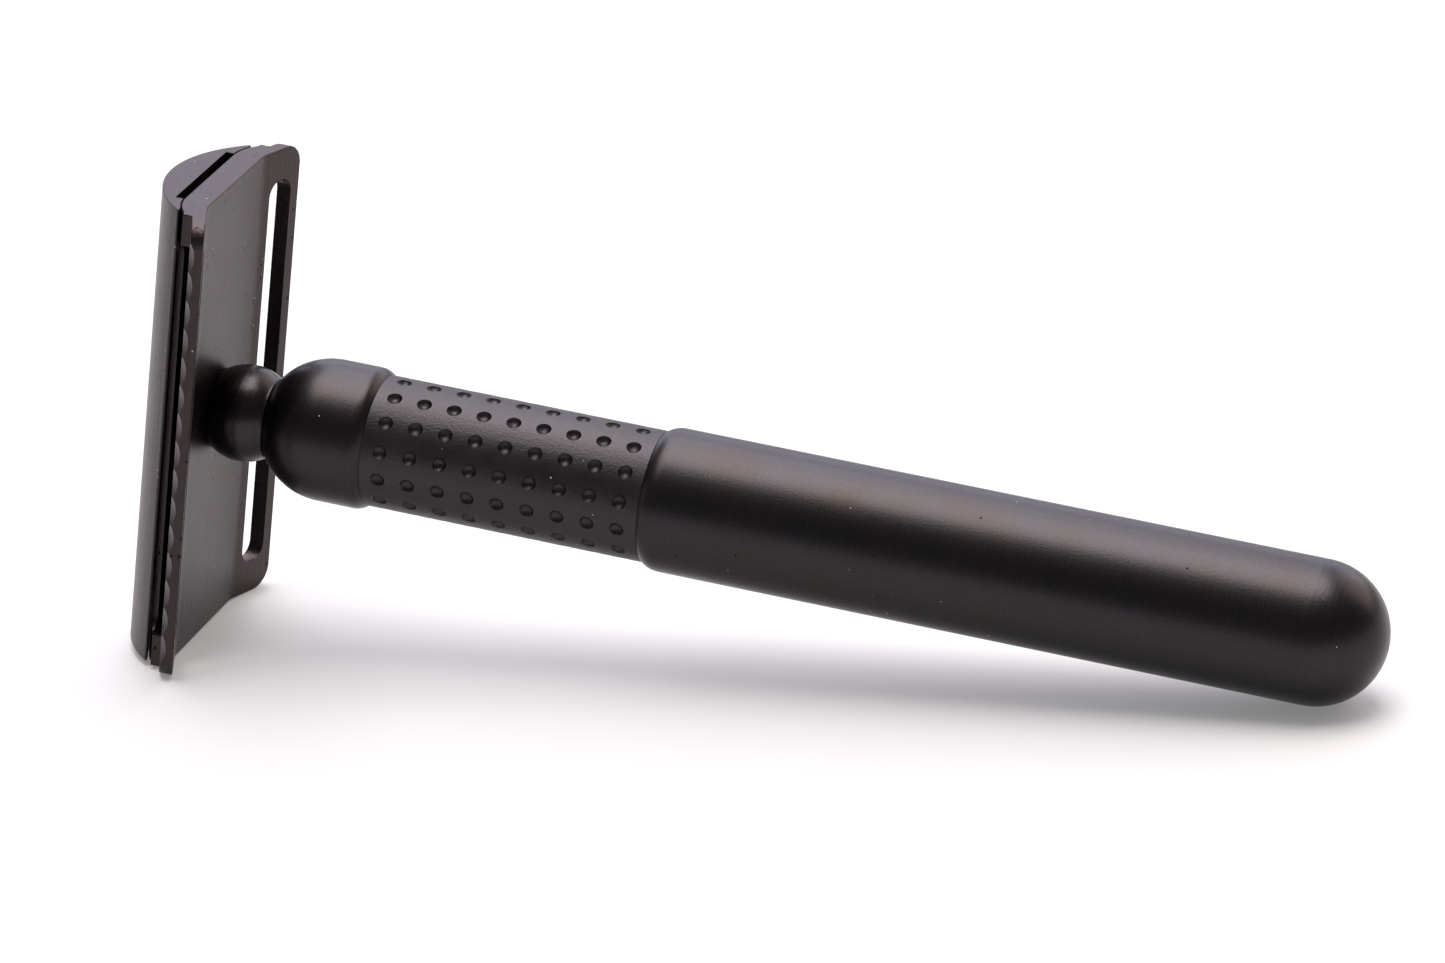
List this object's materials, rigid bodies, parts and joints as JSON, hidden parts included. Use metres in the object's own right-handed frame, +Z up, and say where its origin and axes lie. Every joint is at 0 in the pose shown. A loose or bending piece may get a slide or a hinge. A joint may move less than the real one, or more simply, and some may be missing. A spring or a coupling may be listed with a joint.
{
  "type": "safety razor",
  "caption": "Double-edge safety razor: arched cap and slotted base plate clamped by a screw-on handle with ball neck, dimpled grip and round-tipped barrel.",
  "frame": {"origin": "on the surface the razor rests on, under the centre of its bounding box", "axes": "+Z up as the razor rests on the lower end of its head and the round tip of its handle; +X from the head towards the tip of the handle, which slopes down by 8.56 degrees; Y across the head, the razor being the same on both sides of Y = 0"},
  "size_m": [0.115, 0.025, 0.0436],
  "materials": {
    "coated_head": "satin black coating on stainless steel",
    "coated_handle": "satin black coating on turned stainless steel",
    "blasted_grip": "black coating over bead-blasted stainless steel",
    "bare_steel": "turned stainless steel",
    "seal_rubber": "moulded nitrile rubber"
  },
  "bodies": {
    "plate": {"base_plate": "coated_head"},
    "cap": {"top_cap": "coated_head", "cap_stud": "bare_steel", "locating_pins": "bare_steel"},
    "handle": {"neck_collar": "coated_handle", "front_seal": "seal_rubber", "grip_sleeve": "blasted_grip", "core_rod": "bare_steel", "rear_seal": "seal_rubber", "barrel_plug": "bare_steel", "barrel": "coated_handle"}
  },
  "joints": [
    {"name": "handle_turn", "type": "hinge", "parent": "plate", "child": "handle", "pos_m": [-0.04835, 0, 0.02142], "axis": [0.9888, 0, -0.1491], "range_deg": [0, 3240]},
    {"name": "cap_lift", "type": "slide", "parent": "plate", "child": "cap", "axis": [-0.9888, 0, 0.1491], "range_m": [0, 0.00725]}
  ],
  "couplings": [
    {"joint": "cap_lift", "follows": "handle_turn", "m_per_rad": 0.00012732}
  ]
}
